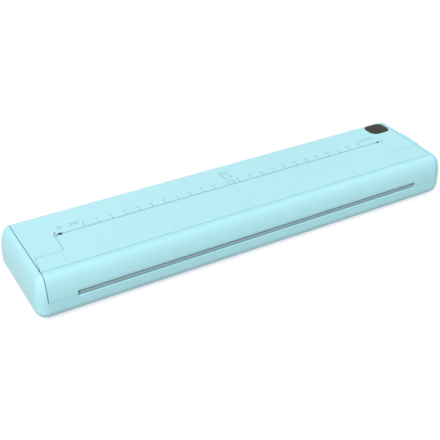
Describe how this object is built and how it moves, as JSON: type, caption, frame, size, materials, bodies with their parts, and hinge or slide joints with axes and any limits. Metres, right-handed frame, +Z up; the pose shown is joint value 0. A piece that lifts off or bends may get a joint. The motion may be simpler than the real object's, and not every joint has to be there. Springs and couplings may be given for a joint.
{
  "type": "portable thermal printer",
  "caption": "Slim battery thermal printer for A4 sheets: front paper slot, ruler slit on top, hinged cover over a geared rubber roller and a sprung print head, power and release buttons.",
  "frame": {"origin": "middle of the footprint, on the surface that the rubber feet stand on", "axes": "+X along the case towards the power button and the release button, +Y from the paper slot to the back, +Z up"},
  "size_m": [0.271, 0.0616, 0.0279],
  "materials": {
    "shell_plastic": "pale blue satin moulded plastic",
    "button_plastic": "soft black moulded plastic",
    "inner_plastic": "pale blue moulded plastic, inside",
    "gear_plastic": "off-white acetal",
    "steel": "ground steel",
    "zinc": "zinc-plated steel",
    "motor_metal": "plated motor can",
    "heatsink": "extruded aluminium",
    "brass": "machined brass",
    "rubber": "matt rubber",
    "board": "solder-masked board",
    "chip": "black moulded packages",
    "ceramic": "glazed ceramic",
    "ribbon": "white ribbon cable",
    "cell": "sleeved battery cell"
  },
  "bodies": {
    "base": {"base_shell": "shell_plastic", "rear_shell": "shell_plastic", "left_end_cap": "shell_plastic", "right_end_cap": "shell_plastic", "left_side_plate": "zinc", "right_side_plate": "zinc", "plate_screws": "zinc", "gear_axles": "steel", "motor_can": "motor_metal", "motor_screws": "zinc", "hinge_pins": "steel", "paper_guide": "inner_plastic", "paper_sensor": "chip", "head_springs": "steel", "head_flat_cable": "ribbon", "battery_tray": "inner_plastic", "battery_cells": "cell", "battery_contacts": "steel", "main_board": "board", "board_components": "chip", "usb_socket": "steel", "board_screws": "zinc", "button_board": "board", "power_switch": "chip", "latch_spring": "steel", "case_screws": "zinc", "rubber_feet": "rubber"},
    "cover": {"top_cover": "shell_plastic", "platen_carrier": "inner_plastic", "carrier_screws": "zinc", "platen_bushes": "gear_plastic"},
    "platen": {"platen_shaft": "steel", "platen_rubber": "rubber", "platen_gear": "gear_plastic", "shaft_clips": "steel"},
    "head": {"head_heatsink": "heatsink", "head_ceramic": "ceramic", "head_driver_board": "board", "head_chip_cover": "chip"},
    "idler": {"idler_gear": "gear_plastic"},
    "reduction": {"reduction_gear": "gear_plastic"},
    "motor": {"motor_pinion": "brass", "motor_shaft": "steel"},
    "release": {"release_button": "shell_plastic", "latch_slider": "gear_plastic"},
    "power": {"power_button": "button_plastic"}
  },
  "joints": [
    {"name": "cover_hinge", "type": "hinge", "parent": "base", "child": "cover", "pos_m": [0, -0.001, 0.0247], "axis": [-1, 0, 0], "range_deg": [0, 80]},
    {"name": "platen_spin", "type": "hinge", "parent": "cover", "child": "platen", "pos_m": [0, -0.0165, 0.0182], "axis": [1, 0, 0], "continuous": true},
    {"name": "idler_spin", "type": "hinge", "parent": "base", "child": "idler", "pos_m": [-0.1136, -0.00974, 0.01016], "axis": [1, 0, 0], "continuous": true},
    {"name": "reduction_spin", "type": "hinge", "parent": "base", "child": "reduction", "pos_m": [-0.115, -0.00153, 0.01236], "axis": [1, 0, 0], "continuous": true},
    {"name": "motor_spin", "type": "hinge", "parent": "base", "child": "motor", "pos_m": [-0.1166, 0.00668, 0.01456], "axis": [1, 0, 0], "continuous": true},
    {"name": "head_float", "type": "slide", "parent": "base", "child": "head", "axis": [0, 0, -1], "range_m": [0, 0.0008], "stiffness_N_per_m": 8000, "springref_m": -0.001, "deforming": ["head_springs", "head_flat_cable"]},
    {"name": "release_slide", "type": "slide", "parent": "base", "child": "release", "axis": [-1, 0, 0], "range_m": [0, 0.0018], "stiffness_N_per_m": 300, "springref_m": -0.001, "deforming": ["latch_spring"]},
    {"name": "power_press", "type": "slide", "parent": "base", "child": "power", "axis": [0, 0, -1], "range_m": [0, 0.0006], "stiffness_N_per_m": 500, "springref_m": -0.0004}
  ],
  "couplings": [
    {"joint": "idler_spin", "follows": "platen_spin", "ratio": -0.90909},
    {"joint": "reduction_spin", "follows": "platen_spin", "ratio": 1.6667},
    {"joint": "motor_spin", "follows": "platen_spin", "ratio": -4}
  ]
}
